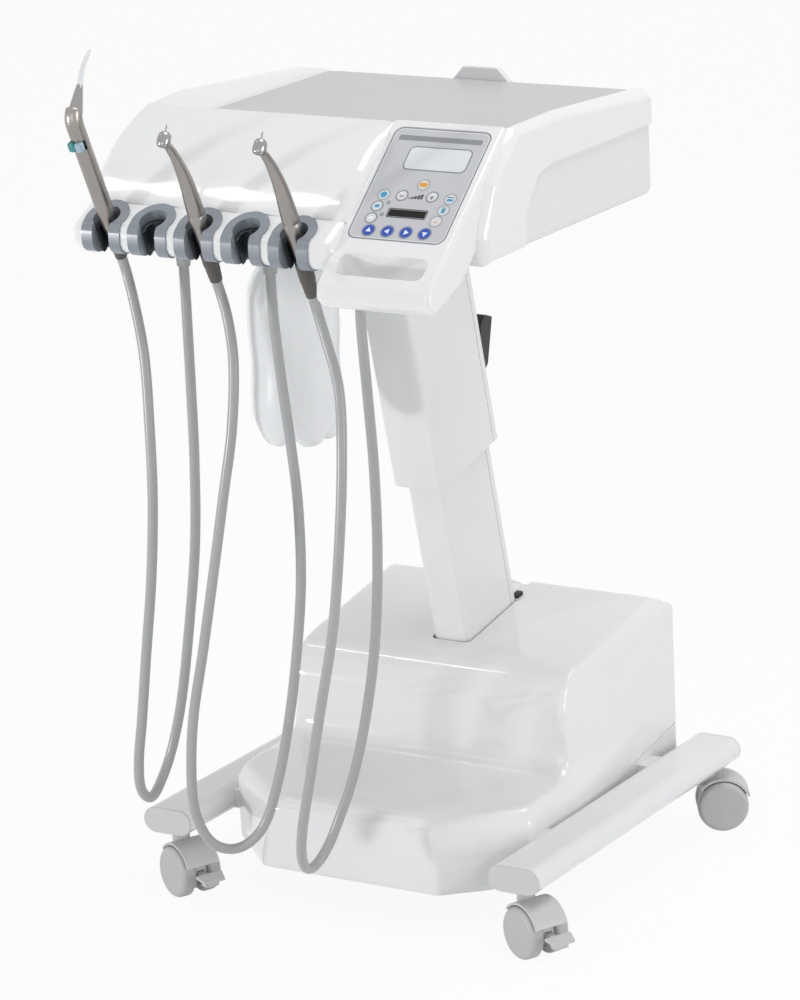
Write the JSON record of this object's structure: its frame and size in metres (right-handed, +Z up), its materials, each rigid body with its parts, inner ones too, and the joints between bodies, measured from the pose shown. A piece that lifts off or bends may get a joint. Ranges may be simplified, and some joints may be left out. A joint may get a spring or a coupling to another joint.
{
  "type": "portable dental unit",
  "caption": "White portable dental cart: instrument head with sloped control console on a leaning lift column, syringe, handpieces on hanging hoses, wheeled base.",
  "frame": {"origin": "on the floor, below the middle of the unit's outer box", "axes": "+X to the unit's right, +Y to its rear, +Z up; the instruments face -Y"},
  "size_m": [0.4835, 0.5665, 0.8367],
  "materials": {
    "gloss_white": "polished moulded",
    "shell_white": "smooth moulded",
    "rail_white": "powder coated, semi-gloss",
    "column_white": "powder coated, satin",
    "frame_black": "powder coated, satin",
    "cap_grey": "fine texture",
    "caster_grey": "fine texture",
    "wheel_grey": "smooth polyurethane",
    "tray_grey": "satin",
    "panel_grey": "fine texture membrane",
    "display_dark": "smooth",
    "key_blue": "membrane print",
    "ring_grey": "satin",
    "liner_dark": "soft",
    "satin_steel": "satin",
    "bright_steel": "polished",
    "plain_steel": "turned",
    "hose_grey": "silicone, satin",
    "relief_grey": "soft",
    "clear_tip": "clear",
    "bottle_clear": "translucent",
    "bottle_cap_grey": "satin",
    "lever_black": "satin",
    "button_teal": "smooth",
    "button_blue": "smooth",
    "iron": "cast, painted",
    "board_green": "solder resist",
    "valve_grey": "milled",
    "supply_black": "fine texture"
  },
  "bodies": {
    "chassis": {"left_rail": "rail_white", "right_rail": "rail_white", "rail_end_caps": "cap_grey", "caster_stems": "plain_steel", "cross_members": "frame_black", "ballast": "iron", "power_supply": "supply_black", "base_cover": "gloss_white", "rear_skirt": "shell_white", "lower_column": "column_white", "column_glides": "cap_grey", "gas_cylinder": "frame_black"},
    "head": {"upper_sleeve": "column_white", "gas_rod": "bright_steel", "head_bracket": "frame_black", "lower_shell": "shell_white", "upper_cover": "gloss_white", "tray_plate": "tray_grey", "rear_handle": "shell_white", "control_panel": "panel_grey", "panel_display": "display_dark", "panel_keys": "key_blue", "control_board": "board_green", "holder_ring_1": "ring_grey", "holder_ring_2": "ring_grey", "holder_ring_3": "ring_grey", "holder_ring_4": "ring_grey", "holder_ring_5": "ring_grey", "holder_liners": "liner_dark", "hose_outlets": "relief_grey", "valve_block": "valve_grey", "bottle_cap": "bottle_cap_grey", "syringe_body": "satin_steel", "syringe_nozzle": "bright_steel", "hose_reliefs": "relief_grey", "hose_1": "hose_grey", "hose_2": "hose_grey", "hose_3": "hose_grey"},
    "front_left_caster": {"front_left_hood": "caster_grey"},
    "front_left_wheel_a_body": {"front_left_wheel_a": "wheel_grey"},
    "front_left_wheel_b_body": {"front_left_wheel_b": "wheel_grey"},
    "left_pedal": {"left_brake_pedal": "caster_grey"},
    "front_right_caster": {"front_right_hood": "caster_grey"},
    "front_right_wheel_a_body": {"front_right_wheel_a": "wheel_grey"},
    "front_right_wheel_b_body": {"front_right_wheel_b": "wheel_grey"},
    "right_pedal": {"right_brake_pedal": "caster_grey"},
    "rear_left_caster": {"rear_left_hood": "caster_grey"},
    "rear_left_wheel_a_body": {"rear_left_wheel_a": "wheel_grey"},
    "rear_left_wheel_b_body": {"rear_left_wheel_b": "wheel_grey"},
    "rear_right_caster": {"rear_right_hood": "caster_grey"},
    "rear_right_wheel_a_body": {"rear_right_wheel_a": "wheel_grey"},
    "rear_right_wheel_b_body": {"rear_right_wheel_b": "wheel_grey"},
    "lever": {"release_lever": "lever_black"},
    "water_bottle": {"bottle": "bottle_clear"},
    "air_push": {"air_button": "button_blue"},
    "water_push": {"water_button": "button_teal"},
    "turbine_1": {"handpiece_1": "satin_steel"},
    "turbine_2": {"handpiece_2": "satin_steel"},
    "bur_1_body": {"bur_1": "bright_steel"},
    "bur_2_body": {"bur_2": "bright_steel"}
  },
  "joints": [
    {"name": "lift_slide", "type": "slide", "parent": "chassis", "child": "head", "axis": [0, -0.2198, 0.9755], "range_m": [-0.065, 0.09]},
    {"name": "front_left_swivel", "type": "hinge", "parent": "chassis", "child": "front_left_caster", "pos_m": [-0.19759, -0.11299, 0.05], "axis": [0, 0, 1], "continuous": true},
    {"name": "front_left_roll_a", "type": "hinge", "parent": "front_left_caster", "child": "front_left_wheel_a_body", "pos_m": [-0.19136, -0.13216, 0.025], "axis": [0.4384, 0.8988, 0], "continuous": true},
    {"name": "front_left_roll_b", "type": "hinge", "parent": "front_left_caster", "child": "front_left_wheel_b_body", "pos_m": [-0.17865, -0.10609, 0.025], "axis": [0.4384, 0.8988, 0], "continuous": true},
    {"name": "left_pedal_press", "type": "hinge", "parent": "front_left_caster", "child": "left_pedal", "pos_m": [-0.17422, -0.12438, 0.022], "axis": [0.4384, 0.8988, 0], "range_deg": [0, 10]},
    {"name": "front_right_swivel", "type": "hinge", "parent": "chassis", "child": "front_right_caster", "pos_m": [0.18241, -0.11299, 0.05], "axis": [0, 0, 1], "continuous": true},
    {"name": "front_right_roll_a", "type": "hinge", "parent": "front_right_caster", "child": "front_right_wheel_a_body", "pos_m": [0.18864, -0.13216, 0.025], "axis": [0.4384, 0.8988, 0], "continuous": true},
    {"name": "front_right_roll_b", "type": "hinge", "parent": "front_right_caster", "child": "front_right_wheel_b_body", "pos_m": [0.20135, -0.10609, 0.025], "axis": [0.4384, 0.8988, 0], "continuous": true},
    {"name": "right_pedal_press", "type": "hinge", "parent": "front_right_caster", "child": "right_pedal", "pos_m": [0.20578, -0.12438, 0.022], "axis": [0.4384, 0.8988, 0], "range_deg": [0, 10]},
    {"name": "rear_left_swivel", "type": "hinge", "parent": "chassis", "child": "rear_left_caster", "pos_m": [-0.19759, 0.24601, 0.05], "axis": [0, 0, 1], "continuous": true},
    {"name": "rear_left_roll_a", "type": "hinge", "parent": "rear_left_caster", "child": "rear_left_wheel_a_body", "pos_m": [-0.20178, 0.26573, 0.025], "axis": [-0.5299, -0.848, 0], "continuous": true},
    {"name": "rear_left_roll_b", "type": "hinge", "parent": "rear_left_caster", "child": "rear_left_wheel_b_body", "pos_m": [-0.21715, 0.24114, 0.025], "axis": [-0.5299, -0.848, 0], "continuous": true},
    {"name": "rear_right_swivel", "type": "hinge", "parent": "chassis", "child": "rear_right_caster", "pos_m": [0.18241, 0.24601, 0.05], "axis": [0, 0, 1], "continuous": true},
    {"name": "rear_right_roll_a", "type": "hinge", "parent": "rear_right_caster", "child": "rear_right_wheel_a_body", "pos_m": [0.20197, 0.24114, 0.025], "axis": [-0.5299, 0.848, 0], "continuous": true},
    {"name": "rear_right_roll_b", "type": "hinge", "parent": "rear_right_caster", "child": "rear_right_wheel_b_body", "pos_m": [0.1866, 0.26573, 0.025], "axis": [-0.5299, 0.848, 0], "continuous": true},
    {"name": "lever_squeeze", "type": "hinge", "parent": "head", "child": "lever", "pos_m": [-0.00759, 0.14351, 0.458], "axis": [1, 0, 0], "range_deg": [0, 10], "stiffness_Nm_per_rad": 0.6},
    {"name": "bottle_unscrew", "type": "hinge", "parent": "head", "child": "water_bottle", "pos_m": [-0.05659, -0.08349, 0.645], "axis": [0, 0, 1], "range_deg": [0, 120]},
    {"name": "air_button_press", "type": "slide", "parent": "head", "child": "air_push", "axis": [0, 0.915, 0.4035], "range_m": [0, 0.0015], "stiffness_N_per_m": 350},
    {"name": "water_button_press", "type": "slide", "parent": "head", "child": "water_push", "axis": [0, 0.915, 0.4035], "range_m": [0, 0.0015], "stiffness_N_per_m": 350},
    {"name": "handpiece_1_pull", "type": "slide", "parent": "head", "child": "turbine_1", "axis": [0, -0.3584, 0.9336], "range_m": [0, 0.025]},
    {"name": "bur_1_spin", "type": "hinge", "parent": "turbine_1", "child": "bur_1_body", "pos_m": [-0.05369, -0.27624, 0.77194], "axis": [0, 0.4226, 0.9063], "continuous": true},
    {"name": "handpiece_2_pull", "type": "slide", "parent": "head", "child": "turbine_2", "axis": [0, -0.3584, 0.9336], "range_m": [0, 0.025]},
    {"name": "bur_2_spin", "type": "hinge", "parent": "turbine_2", "child": "bur_2_body", "pos_m": [0.04531, -0.27624, 0.77194], "axis": [0, 0.4226, 0.9063], "continuous": true}
  ]
}
